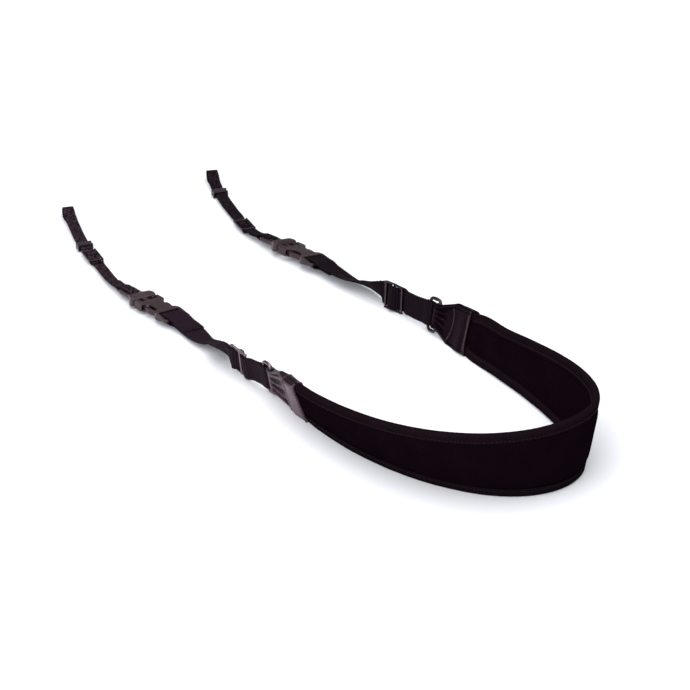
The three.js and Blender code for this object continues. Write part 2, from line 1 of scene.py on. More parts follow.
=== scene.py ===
"""Camera neck strap laid on a table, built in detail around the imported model.

Every piece is drawn flat in strap coordinates, in millimetres, and then laid along one route:
  d  distance from the end of the pad, outwards along one side
  u  across the strap's width
  v  through its thickness, positive on the face that looks out of the loop
The route is the same one that the CAD model follows, so the pieces need no fitting.
"""
import json
from math import atan, cos, pi, radians, sin
from types import SimpleNamespace

import bmesh
import bpy
import numpy as np
from mathutils import Matrix, Vector

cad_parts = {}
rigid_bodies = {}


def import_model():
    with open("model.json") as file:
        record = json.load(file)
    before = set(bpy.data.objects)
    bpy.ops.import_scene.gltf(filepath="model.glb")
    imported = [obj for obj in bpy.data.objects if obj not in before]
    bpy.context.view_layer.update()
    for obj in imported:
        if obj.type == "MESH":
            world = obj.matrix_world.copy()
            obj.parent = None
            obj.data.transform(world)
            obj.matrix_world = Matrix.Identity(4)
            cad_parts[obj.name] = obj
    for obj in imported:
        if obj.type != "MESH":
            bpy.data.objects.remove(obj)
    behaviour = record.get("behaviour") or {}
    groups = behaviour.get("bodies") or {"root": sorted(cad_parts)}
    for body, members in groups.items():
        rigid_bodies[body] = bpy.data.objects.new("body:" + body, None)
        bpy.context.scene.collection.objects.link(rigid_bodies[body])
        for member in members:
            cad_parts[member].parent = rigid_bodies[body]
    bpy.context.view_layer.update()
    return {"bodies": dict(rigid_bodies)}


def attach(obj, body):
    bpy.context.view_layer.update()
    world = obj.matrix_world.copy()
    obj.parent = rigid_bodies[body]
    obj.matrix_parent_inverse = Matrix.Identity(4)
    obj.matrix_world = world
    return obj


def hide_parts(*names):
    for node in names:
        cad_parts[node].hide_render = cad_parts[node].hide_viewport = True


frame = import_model()

MM = 0.001
BODY = sorted(frame["bodies"])[0]


def add_object(name, data):
    made = bpy.data.objects.new(name, data)
    bpy.context.collection.objects.link(made)
    return made


# ---- camera
LOOK = Vector((-0.6924, 0.5607, -0.4540))
RIGHT = Vector((0.6293, 0.7771, 0.0))
CAMERA_PLACE, LENS = (2.0780, -1.6585, 1.3444), 182.6


def add_camera():
    data = bpy.data.cameras.new("camera")
    data.lens, data.sensor_width, data.clip_end = LENS, 36, 30
    camera = add_object("camera", data)
    turn = Matrix((RIGHT, RIGHT.cross(LOOK), -LOOK)).transposed().to_4x4()
    camera.matrix_world = Matrix.Translation(CAMERA_PLACE) @ turn
    bpy.context.scene.camera = camera


add_camera()

# ---- sizes, as in the CAD model
GAP = 0.3
ORIGIN_X, ORIGIN_Y = 0.8, -4
WIDE_WIDTH, WIDE_THICK = 21, 1.2
NARROW_WIDTH, NARROW_THICK = 10, 1.1
LAYER_GAP = 0.3
PAD_THICK, PAD_BOUND, PAD_TUCKED, PAD_LIFT = 6, 4.2, 12, 0.45
TAPE_THICK, TAPE_DEPTH = 0.7, 8
TAB_THICK, TAB_OVERHANG, TAB_BAR = 1.3, 1, 21.6
RING_ROD, RING_PITCH, RING_CORNER, RING_SLACK = 1.4, 11, 3, 2
RING_HALF = WIDE_WIDTH / 2 + RING_ROD + 2.1
WIDE_GLIDE = SimpleNamespace(bar=1.1, pitch=9.8, rail=1.3, fade=8)
NARROW_GLIDE = SimpleNamespace(bar=0.9, pitch=10.5, rail=1.4, fade=6)
WIDE_WEAVE = -1
KEEPER_LENGTH, KEEPER_WALL = 7.5, 1.1
BUCKLE_LENGTH, BUCKLE_BAR = 76, 1.6
WIDE_BAR, NARROW_BAR = 10.3, 64.8
EYE_RADIUS, EYE_LENGTH = 4.2, 22
SEWN_WIDE, SEWN_NARROW = 22, 18

# Distances from the pad's end. mouth is where the leather tab starts along its upper and its
# lower edge, and taper where it begins to narrow; seam, slant and arch say where its smooth half
# ends and how that line runs; folds counts its pleats, which are full beyond fold_end.
SIDES = [
    SimpleNamespace(
        name="near", sign=-1, tab=45, ring_shift=0.4, glide=90, buckle=202, slider=357, keeper=379,
        end=457, weave=-1, mouth=(-8, -8.5), seam=13.4, slant=-3.2, arch=0.5, taper=20,
        fold_end=15, folds=1.5),
    SimpleNamespace(
        name="far", sign=1, tab=49, ring_shift=0, glide=105, buckle=205, slider=319, keeper=393,
        end=436, weave=1, mouth=(4, 0), seam=26.5, slant=0, arch=4.5, taper=26, fold_end=31,
        folds=2.0),
]

NEAR_ROUTE = [  # x, y, z, roll
    (-337, -33, 5.0, 180), (-315, -43, 4.0, 180), (-291, -53.5, 3.0, 180),
    (-266, -64, 3.6, 180), (-240, -72, 3.9, 180), (-215, -79.5, 3.8, 180),
    (-190, -87, 4.6, 178), (-170, -90, 5.6, 175), (-148, -90, 5.5, 175),
    (-112, -89.5, 5.4, 175), (-88, -89, 5.2, 175), (-70, -89.5, 3.6, 179),
    (-50, -92.3, 3.2, 169), (-31, -92, 7.0, 165.5), (-14, -100.3, 10.7, 147),
    (4, -104, 14.1, 105), (28, -105.3, 12.6, 101), (57, -106, 14.9, 99),
    (83, -109.5, 16.0, 106),
]
PAD_ROUTE = [  # x, y, width, lean
    (107, -113.5, 36, 19), (142, -118.5, 41, 18), (183, -120, 46.5, 18), (229, -115, 52.5, 18),
    (270, -103, 59, 18), (303, -83, 63, 15), (324, -56, 65, 11), (331, -26, 66, 9),
    (323, 3, 65, 9), (300, 25, 62, 10), (268, 41, 58, 12), (232, 52, 53, 14),
    (193, 60, 47, 16), (151, 66, 41, 20), (108, 71, 37, 21),
]
FAR_ROUTE = [
    (83, 72.5, 16.2, 109), (57, 73, 15.7, 105), (35, 73, 13.7, 97), (14, 73, 12.7, 94),
    (-6, 71.5, 12.2, 97), (-20, 72, 10.3, 59), (-32, 73.4, 8.3, 45), (-44, 73.3, 6.5, 30),
    (-58, 72.2, 5.7, 21), (-74, 73, 5.6, 15), (-92, 73.8, 6.2, 11), (-114, 72.8, 6.4, 11),
    (-152, 70, 6.7, 11), (-173, 68.2, 6.3, 11), (-189, 68, 5, 6), (-207, 72.5, 4, 0),
    (-233, 81, 3.5, 0), (-261, 91, 3.2, 0), (-288, 102, 3.9, 0), (-313, 115, 5.0, 0),
]


# ---- the route
def mix(a, b, t):
    return a + (b - a) * t


def smooth(low, high, x):
    t = np.clip((np.asarray(x, float) - low) / (high - low), 0, 1)
    return t * t * (3 - 2 * t)


def bump(x, middle, width):
    """A smooth bump of height 1 round middle."""
    return np.exp(-((np.asarray(x, float) - middle) / width) ** 2)


def unit(v):
    return v / np.linalg.norm(v, axis=-1, keepdims=True)


def cubic(a, b, c, d, t):
    """Cubic through four evenly spaced values, between b and c."""
    k2 = a - 2.5 * b + 2 * c - d / 2
    k3 = (d - a) / 2 + 1.5 * (b - c)
    return b + t * ((c - a) / 2 + t * (k2 + t * k3))


def centripetal(p0, p1, p2, p3, t):
    """Centripetal Catmull-Rom curve from p1 to p2."""
    d0, d1, d2 = (np.linalg.norm(b - a) ** 0.5 for a, b in ((p0, p1), (p1, p2), (p2, p3)))
    t1 = ((p1 - p0) / d0 - (p2 - p0) / (d0 + d1) + (p2 - p1) / d1) * d1
    t2 = ((p2 - p1) / d1 - (p3 - p1) / (d1 + d2) + (p3 - p2) / d2) * d1
    c2 = -3 * p1 + 3 * p2 - 2 * t1 - t2
    c3 = 2 * p1 - 2 * p2 + t1 + t2
    return p1 + t * (t1 + t * (c2 + t * c3))


PER_SPAN = 24


def travelled(points):
    """Distance of each point along the line through them."""
    steps = np.linalg.norm(np.diff(points, axis=0), axis=1)
    return np.concatenate([[0], np.cumsum(steps)])


def sample_route():
    """Arrays along the route: distance s, then columns x, y, z, roll and pad width."""
    rows = [(x, y, z, roll, 0) for x, y, z, roll in NEAR_ROUTE]
    for x, y, width, lean in PAD_ROUTE:
        z = width / 2 * cos(radians(lean)) + PAD_LIFT
        rows.append((x, y, z, 90 + lean, width))
    rows += [(x, y, z, roll, 0) for x, y, z, roll in FAR_ROUTE]
    rows = np.array(rows, float) - [ORIGIN_X, ORIGIN_Y, 0, 0, 0]
    last = len(rows) - 1
    samples = []
    for k in range(last * PER_SPAN + 1):
        i = min(last - 1, k // PER_SPAN)
        t = k / PER_SPAN - i
        a, b = rows[i][:3], rows[i + 1][:3]
        before = rows[i - 1][:3] if i > 0 else 2 * a - b
        after = rows[i + 2][:3] if i + 2 <= last else 2 * b - a
        near = [rows[min(last, max(0, j))][3:] for j in range(i - 1, i + 3)]
        samples.append([*centripetal(before, a, b, after, t), *cubic(*near, t)])
    samples = np.array(samples)
    return travelled(samples[:, :3]), samples


ROUTE_S, ROUTE = sample_route()
PAD_START = ROUTE_S[len(NEAR_ROUTE) * PER_SPAN]
PAD_END = ROUTE_S[(len(NEAR_ROUTE) + len(PAD_ROUTE) - 1) * PER_SPAN]
PAD_LENGTH = PAD_END - PAD_START


def route_at(s):
    """Route columns at distances s; they run on straight past either end."""
    s = np.asarray(s, float)
    i = np.clip(np.searchsorted(ROUTE_S, s, side="right") - 1, 0, len(ROUTE_S) - 2)
    t = (s - ROUTE_S[i]) / (ROUTE_S[i + 1] - ROUTE_S[i])
    return mix(ROUTE[i], ROUTE[i + 1], t[..., None])


def place(s, u, v):
    """Points at distance s along the route, u across and v out of it. All are flat arrays."""
    s, u, v = np.broadcast_arrays(np.asarray(s, float), u, v)
    here = route_at(s)
    ahead = unit(route_at(s + 1)[:, :3] - route_at(s - 1)[:, :3])
    left = unit(np.column_stack([-ahead[:, 1], ahead[:, 0], np.zeros(len(s))]))
    up = np.cross(ahead, left)
    roll = np.radians(here[:, 3:4])
    across = left * np.cos(roll) + up * np.sin(roll)
    out = up * np.cos(roll) - left * np.sin(roll)
    return here[:, :3] + across * u[:, None] + out * v[:, None]


def rest(points):
    """Soft parts flatten where they rest on the table."""
    points[:, 2] = np.maximum(points[:, 2], 0)
    return points


def on_side(side, start=0):
    """Like place, for distances from start on one side, which counts from the pad's end."""
    def at(d, u, v):
        d = np.asarray(d, float) + start
        return place(PAD_START - d if side.sign < 0 else PAD_END + d, u, v)
    return at


def soft_on_side(side):
    return lambda d, u, v: rest(on_side(side)(d, u, v))


def on_pad(s, u, v):
    return rest(place(PAD_START + np.asarray(s, float), u, v))


def pad_width(s):
    return route_at(PAD_START + np.clip(s, 0, PAD_LENGTH))[..., 4]


def tucked(s):
    """The ends inside the leather tabs are pressed thinner."""
    inside = np.minimum(s, PAD_LENGTH - np.asarray(s, float))
    return mix(1, 0.72, smooth(-18, PAD_TUCKED, -inside))


# ---- materials
def new_material(name, colour, roughness, gloss=0.5, tint=(1, 1, 1), **values):
    """A new material, held by the helper that adds nodes to it."""
    material = bpy.data.materials.new(name)
    material.use_nodes = True
    values |= {"Base Color": (*colour, 1), "Roughness": roughness,
               "Specular IOR Level": gloss, "Specular Tint": (*tint, 1)}
    inputs = material.node_tree.nodes["Principled BSDF"].inputs
    for key, value in values.items():
        inputs[key.replace("_", " ")].default_value = value
    return Nodes(material)


class Nodes:
    """Short names for the nodes that the materials use."""

    def __init__(self, owner):
        self.owner, self.tree = owner, owner.node_tree

    def link(self, value, socket):
        if isinstance(value, bpy.types.NodeSocket):
            self.tree.links.new(value, socket)
        else:
            socket.default_value = value

    def node(self, kind, inputs, output=0, **settings):
        node = self.tree.nodes.new(kind)
        for key, value in settings.items():
            setattr(node, key, value)
        for key, value in inputs.items():
            self.link(value, node.inputs[key])
        return node.outputs[output]

    def math(self, operation, a, b=0.0, c=0.0):
        return self.node("ShaderNodeMath", {0: a, 1: b, 2: c}, operation=operation)

    def mad(self, a, b, c=0.0):
        """a * b + c"""
        return self.math("MULTIPLY_ADD", a, b, c)

    def wave(self, value, period, shift=0.0):
        """0 to 1 wave of that period in millimetres."""
        turned = self.mad(value, 2 * pi / period, shift)
        return self.mad(self.math("SINE", turned), 0.5, 0.5)

    def split(self, vector):
        return self.node("ShaderNodeSeparateXYZ", {0: vector}).node.outputs

    def join(self, x, y):
        return self.node("ShaderNodeCombineXYZ", {0: x, 1: y})

    def strap(self):
        """along, across and a third value, as each mesh stores them (on the leather tabs its
        painted highlight and shade), and the first two as a vector.
        """
        along, across, painted_highlight_and_shade = self.split(
            self.node("ShaderNodeAttribute", {}, "Vector", attribute_name="strap"))
        return along, across, painted_highlight_and_shade, self.join(along, across)

    def noise(self, vector, scale, detail, roughness=0.55):
        return self.node("ShaderNodeTexNoise", {
            "Vector": vector, "Scale": scale, "Detail": detail, "Roughness": roughness})

    def cells(self, vector, scale):
        return self.node("ShaderNodeTexVoronoi", {"Vector": vector, "Scale": scale},
                         "Distance", feature="DISTANCE_TO_EDGE")

    def ramp(self, value, low, high, to_low=0.0, to_high=1.0):
        return self.node("ShaderNodeMapRange", {
            "Value": value, "From Min": low, "From Max": high, "To Min": to_low,
            "To Max": to_high})

    def blend(self, factor, a, b):
        a, b = (v if isinstance(v, bpy.types.NodeSocket) else (*v, 1) for v in (a, b))
        return self.node("ShaderNodeMix", {"Factor": factor, 6: a, 7: b}, 2, data_type="RGBA")

    def dress(self, base, height, relief, strength=0.8, cloud=None, rough=()):
        """Links colour, bump (relief in metres) and clouded roughness; returns the material."""
        inputs = self.tree.nodes["Principled BSDF"].inputs
        self.link(base, inputs["Base Color"])
        self.link(self.node("ShaderNodeBump", {
            "Height": height, "Distance": relief, "Strength": strength}), inputs["Normal"])
        if cloud:
            self.link(self.ramp(cloud, 0.3, 0.7, *rough), inputs["Roughness"])
        return self.owner


def neoprene_material():
    """Fine knit face: wales run across the pad, and the cloth is a little cloudy."""
    n = new_material("knit_neoprene", (0.005, 0.003, 0.0047), 1.0, 0.0)
    along, across, _, spot = n.strap()
    knit = n.mad(n.wave(along, 1.5), n.mad(n.wave(across, 1.0), 0.6, 0.4))
    cloud = n.noise(spot, 0.045, 4)
    tone = n.mad(knit, 0.4, n.mad(cloud, 0.6))
    return n.dress(n.blend(tone, (0.0024, 0.0010, 0.0019), (0.0082, 0.0038, 0.0070)),
                   n.mad(n.noise(spot, 1.6, 2), 0.5, knit), 0.00016, 0.8, cloud, (0.92, 1.0))


def tape_material():
    """Fine ribs along the binding, a little browner and shinier than the pad."""
    n = new_material("binding_tape", (0.006, 0.004, 0.005), 0.7, 0.0)
    along, across, _, spot = n.strap()
    rib = n.wave(along, 0.8)
    cloud = n.noise(spot, 0.12, 3)
    tone = n.mad(rib, 0.5, n.mad(cloud, 0.5))
    return n.dress(n.blend(tone, (0.0036, 0.0015, 0.0026), (0.0125, 0.0070, 0.0100)),
                   n.mad(n.wave(across, 0.55), 0.3, rib), 0.00010, 0.8, cloud, (0.54, 0.72))


RIB = {"wide": 2.6, "narrow": 2.3}


def webbing_material(side, kind):
    """Warp yarns run along the strap and go over and under the picks that make its ribs."""
    n = new_material(f"{side}_{kind}_weave", (0.012, 0.009, 0.014), 0.6, 0.03, (1.0, 0.75, 1.0))
    along, across, _, spot = n.strap()
    pick = n.math("FLOOR", n.math("DIVIDE", along, RIB[kind] / 2))
    yarn = n.math("ABSOLUTE", n.math("SINE", n.mad(across, pi / 0.85, n.mad(pick, pi / 2))))
    cloud = n.noise(spot, 0.16, 3)
    tone = n.mad(n.wave(along, RIB[kind], pi / 2), 0.55, n.mad(yarn, 0.2, n.mad(cloud, 0.3)))
    light = (0.0265, 0.0145, 0.0235)
    if kind == "narrow":  # a coarser weave, with paler flecks
        tone = n.mad(tone, n.ramp(n.noise(spot, 0.42, 2), 0.44, 0.62, 0.1, 1.9))
        light = (0.0480, 0.0310, 0.0410)
    # the far side's webbing is the near side's made darker: painted shade
    light = tuple(value * (0.45 if side == "far" else 1) for value in light)
    return n.dress(n.blend(tone, (0.0012, 0.0006, 0.0011), light),
                   n.mad(n.noise(spot, 2.2, 2), 0.35, yarn), 0.00014, 0.8, cloud, (0.52, 0.7))


def leather_material(name, gloss, dark, light, valley_shade):
    """Fine grain and creases along the pleats, with painted highlight and painted shade: the
    third strap value is 1 at the brightest painted highlight and -1 in the deepest painted shade."""
    n = new_material(name, (0.010, 0.006, 0.008), 0.28, gloss, (1.0, 0.62, 0.8))
    along, across, painted_highlight_and_shade, spot = n.strap()
    cloud = n.noise(spot, 0.10, 4)
    crease = n.noise(n.join(n.mad(along, 0.25), across), 0.9, 3)
    # painted highlight: paler where the third strap value is positive, broken up by the crease
    # noise
    worn = n.mad(n.ramp(painted_highlight_and_shade, 0.25, 1.0), n.ramp(crease, 0.3, 0.65, 0.4, 1.0))
    # painted shade: the colour darkens where that value is negative, down to the dark colour scaled
    # by the valley factor
    valley_shade_colour = tuple(valley_shade * value for value in dark)
    base = n.blend(n.ramp(painted_highlight_and_shade, -0.9, 0.0), valley_shade_colour, n.blend(cloud, dark, light))
    grain = n.mad(n.math("MINIMUM", n.cells(spot, 2.6), 0.06), 0.6,
                  n.math("MINIMUM", n.cells(spot, 1.15), 0.12))
    # (0.090, 0.060, 0.068) is the colour of the painted highlight
    return n.dress(n.blend(worn, base, (0.090, 0.060, 0.068)), n.mad(crease, 0.12, grain),
                   0.0004, 0.3, cloud, (0.22, 0.34))


def plastic_material(name, colour, lighter, roughness, **values):
    """Moulded plastic: fine spark texture, faint flow marks and scuffs."""
    n = new_material(name, colour, roughness, **values)
    spot = n.node("ShaderNodeTexCoord", {}, "Object")
    cloud = n.noise(spot, 90.0, 3)
    scuff = n.noise(n.node("ShaderNodeMapping", {
        "Vector": spot, "Scale": (900.0, 160.0, 400.0)}), 1.0, 4, 0.7)
    worn = n.ramp(scuff, 0.56, 0.72)
    return n.dress(n.blend(n.mad(worn, 0.6), n.blend(cloud, colour, lighter), lighter),
                   n.mad(worn, 0.3, n.noise(spot, 2600.0, 2)), 0.00004, 0.6, cloud,
                   (roughness - 0.05, roughness + 0.08))


def thread_material():
    n = new_material("sewing_thread", (0.012, 0.008, 0.010), 0.5, 0.1)
    twist = n.wave(n.strap()[0], 0.45)
    return n.dress(n.blend(twist, (0.005, 0.003, 0.004), (0.026, 0.019, 0.023)), twist, 0.00006)


NEOPRENE = neoprene_material()
TAPE = tape_material()
WEBBING = {(side, kind): webbing_material(side, kind) for side in ("near", "far") for kind in RIB}
# Lit and shaded copies of one leather: the near tab's paler, glossier colours are painted light and
# the far tab's darker ones painted shade.
LEATHER = {"near": leather_material("leather_painted_lit", 0.30, (0.046, 0.025, 0.034),
                                    (0.092, 0.050, 0.066), 0.12),
           "far": leather_material("leather_painted_shaded", 0.01, (0.0050, 0.0020, 0.0038),
                                   (0.0130, 0.0066, 0.0104), 0.7)}
PLASTIC = plastic_material("moulded_plastic", (0.011, 0.0052, 0.0068), (0.038, 0.021, 0.025), 0.26,
                           gloss=0.38, tint=(1.0, 0.82, 0.88))
NYLON = plastic_material("dark_nylon", (0.006, 0.003, 0.0045), (0.022, 0.013, 0.017), 0.3,
                         gloss=0.3, tint=(1.0, 0.84, 0.9))
# Lit and shaded copies of one rod finish: the near side's paler colours are painted light and the
# far side's darker ones painted shade.
ROD = {"near": plastic_material("rod_painted_lit", (0.13, 0.10, 0.11), (0.26, 0.21, 0.22), 0.24,
                                Metallic=1.0),
       "far": plastic_material("rod_painted_shaded", (0.035, 0.024, 0.028), (0.08, 0.06, 0.065), 0.22,
                               Metallic=1.0)}
THREAD = thread_material()


# ---- mesh helpers
def new_piece(name, points, faces, material, nodes=(), strap=None):
    """A piece from points in millimetres. strap holds (along, across, a third value) for each
    point; on the leather tabs the third is painted highlight and shade.
    """
    mesh = bpy.data.meshes.new(name)
    mesh.from_pydata((np.asarray(points) * MM).tolist(), [], faces)
    mesh.validate()
    if strap:
        values = mesh.attributes.new("strap", "FLOAT_VECTOR", "POINT")
        values.data.foreach_set("vector", np.vstack(strap).astype(np.float32).ravel())
    return finish_piece(add_object(name, mesh), material, nodes)


def finish_piece(piece, material, nodes):
    piece.data.materials.append(material)
    outward(piece.data)
    piece.data.shade_smooth()
    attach(piece, BODY)
    if nodes:
        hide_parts(*nodes)
    return piece


def outward(mesh):
    """Turns every face to look out."""
    work = bmesh.new()
    work.from_mesh(mesh)
    bmesh.ops.recalc_face_normals(work, faces=work.faces)
    work.to_mesh(mesh)
    work.free()


def stack(*columns):
    """Columns side by side; a single number fills its column."""
    return np.column_stack(np.broadcast_arrays(*columns))


def points_of(mesh):
    flat = np.empty(len(mesh.vertices) * 3)
    mesh.vertices.foreach_get("co", flat)
    return flat.reshape(-1, 3)


def move_points(mesh, points):
    mesh.vertices.foreach_set("co", points.ravel())
    mesh.update()


def bake_modifiers(piece):
    """Replaces a piece's mesh with the one that its modifiers make."""
    graph = bpy.context.evaluated_depsgraph_get()
    mesh = bpy.data.meshes.new_from_object(piece.evaluated_get(graph), depsgraph=graph)
    piece.modifiers.clear()
    old, piece.data = piece.data, mesh
    bpy.data.meshes.remove(old)
    mesh.shade_smooth()


def tube_faces(rows, count, closed=False, first=0):
    """Faces between rows of count points round a tube, capped unless it closes on itself."""
    faces = []
    for i in range(rows if closed else rows - 1):
        a, b = first + i * count, first + ((i + 1) % rows) * count
        faces += [(a + j, a + (j + 1) % count, b + (j + 1) % count, b + j)
                  for j in range(count)]
    if not closed:
        last = first + (rows - 1) * count
        faces += [range(first, first + count), range(last + count - 1, last - 1, -1)]
    return faces


def resample(path, step, rounds):
    """The path of (d, v) points at an even step, with its kinks smoothed, and the distances."""
    a = travelled(path)
    even = np.linspace(0, a[-1], int(round(a[-1] / step)) + 1)
    points = np.column_stack([np.interp(even, a, column) for column in path.T])
    for _ in range(rounds):
        points[1:-1] = (points[:-2] + 2 * points[1:-1] + points[2:]) / 4
    return even, points


def normals_of(points):
    ahead = unit(np.gradient(points, axis=0))
    return np.column_stack([-ahead[:, 1], ahead[:, 0]])


def strays(seed, count, span, reach):
    """count random strays of up to reach, smoothed over span of them."""
    drift = np.random.default_rng(seed).standard_normal(count + span - 1)
    drift = np.convolve(drift, np.hanning(span), "valid")
    return drift * (reach / np.abs(drift).max())


def arc(start, end, count):
    """count angles strictly between start and end, in radians."""
    return np.radians(np.linspace(start, end, count + 2)[1:-1])


# ---- the pad
def pad_stations(step, short=0.0):
    count = int(round((PAD_LENGTH + 2 * PAD_TUCKED) / step))
    s = np.linspace(-PAD_TUCKED, PAD_LENGTH + PAD_TUCKED, count + 1)
    return np.clip(s, -PAD_TUCKED + short, PAD_LENGTH + PAD_TUCKED - short)


def pad_core():
    """The neoprene body, crowned between the two bindings."""
    stations = pad_stations(3.4)
    columns = 17
    spread = np.linspace(-1, 1, columns)
    points, strap, pinned = [], [], []
    for s in stations:
        half = pad_width(s) / 2 - TAPE_THICK - GAP
        bound = half + TAPE_THICK + GAP - TAPE_DEPTH
        u = half * np.sign(spread) * np.abs(spread) ** 0.9
        body = mix(PAD_THICK / 2 + 0.2, PAD_BOUND / 2, smooth(bound - 7, bound, np.abs(u)))
        rim = np.sqrt(np.clip(1 - ((np.abs(u) - (half - 2.2)).clip(0) / 2.3) ** 2, 0.02, 1))
        v = body * rim * tucked(s)
        ring_u = np.concatenate([u, u[::-1]])
        points.append(on_pad(s, ring_u, np.concatenate([v, -v[::-1]])))
        edge = np.abs(ring_u) - bound
        strap.append(stack(s, ring_u, edge))
        inside = min(s, PAD_LENGTH - s)
        pinned += [bool(e > -1.5 or inside < 11) for e in edge]
    piece = new_piece("pad_core_neoprene", np.vstack(points),
                      tube_faces(len(stations), 2 * columns), NEOPRENE,
                      ["pad_core"], strap)
    inflate(piece, pinned)
    piece.modifiers.new("finer", "SUBSURF").levels = 1
    bake_modifiers(piece)
    sew_channel(piece)


def inflate(piece, pinned, cap=1.1):
    """Swells the pad between its bound edges with a short cloth simulation."""
    mesh = piece.data
    before = points_of(mesh)
    group = piece.vertex_groups.new(name="sewn")
    group.add([i for i, held in enumerate(pinned) if held], 1.0, "REPLACE")
    cloth = piece.modifiers.new("swell", "CLOTH")
    for key, value in dict(
            vertex_group_mass="sewn", use_pressure=True, uniform_pressure_force=4, quality=6,
            mass=0.3, tension_stiffness=25, compression_stiffness=25, shear_stiffness=12,
            bending_stiffness=2.5, shrink_min=-0.03).items():
        setattr(cloth.settings, key, value)
    cloth.settings.effector_weights.gravity = 0
    cloth.collision_settings.use_collision = False
    cloth.collision_settings.use_self_collision = False
    for number in range(1, 21):
        bpy.context.scene.frame_set(number)
    solved = piece.evaluated_get(bpy.context.evaluated_depsgraph_get()).to_mesh()
    moved = np.nan_to_num(points_of(solved) - before)
    piece.to_mesh_clear()
    piece.modifiers.remove(cloth)
    piece.vertex_groups.remove(group)
    bpy.context.scene.frame_set(1)
    length = np.linalg.norm(moved, axis=1, keepdims=True)
    limit = cap * MM
    moved *= limit * np.tanh(length / limit) / np.maximum(length, 1e-9)
    move_points(mesh, before + moved)


def sew_channel(piece):
    """Presses the sewn line that runs beside each binding, after the swelling."""
    mesh = piece.data
    count = len(mesh.vertices)
    strap = np.empty(count * 3, np.float32)
    mesh.attributes["strap"].data.foreach_get("vector", strap)
    edge = strap.reshape(-1, 3)[:, 2]
    normal = np.array([tuple(v.normal) for v in mesh.vertices])
    depth = 0.5 * bump(edge, -3.4, 0.8) + 0.55 * bump(edge, -0.2, 0.8) - 0.2 * bump(edge, -1.8, 0.8)
    ease = 1 + 0.2 * np.random.default_rng(7).standard_normal(count)
    move_points(mesh, points_of(mesh) - normal * (depth * ease * MM)[:, None])


def tape_section(edge):
    """Section of a folded tape for half width edge: (u, v) round its outside, then inside."""
    inner = PAD_BOUND / 2 + GAP
    outer = inner + TAPE_THICK
    open_u, fold = edge - TAPE_DEPTH, edge - TAPE_THICK
    depths = [0, 0.25, 0.7, 1.2, 1.7, 2.1, 2.5, 3.2, 4.4, 5.4, 6.0]
    press = [0.5, 0.16, 0.02, 0.06, 0.22, 0.34, 0.2, 0.04, 0, 0, 0]
    side = [(open_u + a, outer - b) for a, b in zip(depths, press)]
    nose = [(edge - 2 + 2 * cos(a), outer * sin(a)) for a in arc(90, -90, 9)]
    back = [(u, -v) for u, v in reversed(side)]
    inside = [(open_u, -inner), (fold - 1.6, -inner), (fold, -inner * 0.4),
              (fold, inner * 0.4), (fold - 1.6, inner), (open_u, inner)]
    return np.array(side + nose + back + inside)


def binding(name, side):
    """Tape folded over one long edge: side = 1 is the upper edge, -1 the lower."""
    stations = pad_stations(1.3, short=1.0)
    points, strap = [], []
    for s, stray in zip(stations, strays(11 + side, len(stations), 41, 0.2)):
        edge = pad_width(s) / 2
        u, v = tape_section(edge).T
        # the tape dips where each stitch pulls it down
        pull = 0.1 * cos(2 * pi * s / STITCH_PITCH)
        dip = pull * bump(edge - u, TAPE_DEPTH - 2.1, 0.8)
        v = (v - np.sign(v) * np.maximum(dip, 0)) * tucked(s)
        fold = bump(u, edge, 1.2)
        u = u + np.where(u < edge - TAPE_DEPTH + 1, stray, 0)
        row = on_pad(s, side * u, v)
        if side < 0:  # the lower fold is pressed flat on the table
            row[:, 2] = np.maximum(row[:, 2] - 0.6 * fold, 0)
        points.append(row)
        strap.append(stack(s, u, v))
    count = len(u)
    faces = tube_faces(len(stations), count)[:-2]
    base = (len(stations) - 1) * count
    # the ends are U shapes, so each is closed by strips between the outside and the inside
    inside = [count - 1 - round(j * 5 / (count - 7)) for j in range(count - 6)]
    for j in range(count - 7):
        loop = list(dict.fromkeys([j, j + 1, inside[j + 1], inside[j]]))
        faces += [loop, [base + k for k in reversed(loop)]]
    new_piece(f"{name}_tape", np.vstack(points), faces, TAPE, [name],
              strap)


# ---- stitches
STITCH_PITCH = 3.0


def stitches(name, at, rows, radius=0.24, length=2.1, sink=0.22):
    """Raised stitches. rows holds (d, u, v, angle, sign): angle is the direction in the strap's
    plane from along to across, and sign the face that it lies on."""
    sides, steps = 5, 5
    points, strap, faces = [], [], []
    ring = np.arange(sides) * 2 * pi / sides
    for index, (d, u, v, angle, sign) in enumerate(rows):
        for x in np.linspace(-1, 1, steps):
            along = x * length / 2
            high = radius * (1 - x * x) * 1.3 - sink * abs(x) ** 3
            thick = radius * (1 - 0.35 * x * x)
            side_off = thick * np.cos(ring)
            points.append(stack(d + along * cos(angle) - side_off * sin(angle),
                                u + along * sin(angle) + side_off * cos(angle),
                                v + sign * (high + thick * np.sin(ring))))
        strap.append(stack(np.repeat(np.linspace(0, length, steps), sides) + index * 1.7,
                           np.tile(ring, steps), 0))
        faces += tube_faces(steps, sides, first=index * steps * sides)
    new_piece(name, at(*np.vstack(points).T), faces, THREAD, strap=strap)


def both_faces(d, u, top, angle):
    return [(d, u, top, angle, 1), (d, u, -top, angle, -1)]


def binding_stitches():
    rows = []
    for s in np.linspace(2.5, PAD_LENGTH - 2.5, int((PAD_LENGTH - 4) / STITCH_PITCH)):
        top = (PAD_BOUND / 2 + GAP + TAPE_THICK - 0.3) * tucked(s)
        for side in (1, -1):
            rows += both_faces(s, side * (pad_width(s) / 2 - TAPE_DEPTH + 2.1), top, 0.0)
    stitches("pad_binding_stitching", on_pad, rows)


# ---- leather tab
def tab_half(d, side):
    full = pad_width(0.0) / 2 + TAB_OVERHANG
    length = side.tab - 4 - side.taper
    narrowing = np.clip((np.asarray(d, float) - side.taper) / length, 0, 1)
    return mix(full, TAB_BAR / 2, narrowing)


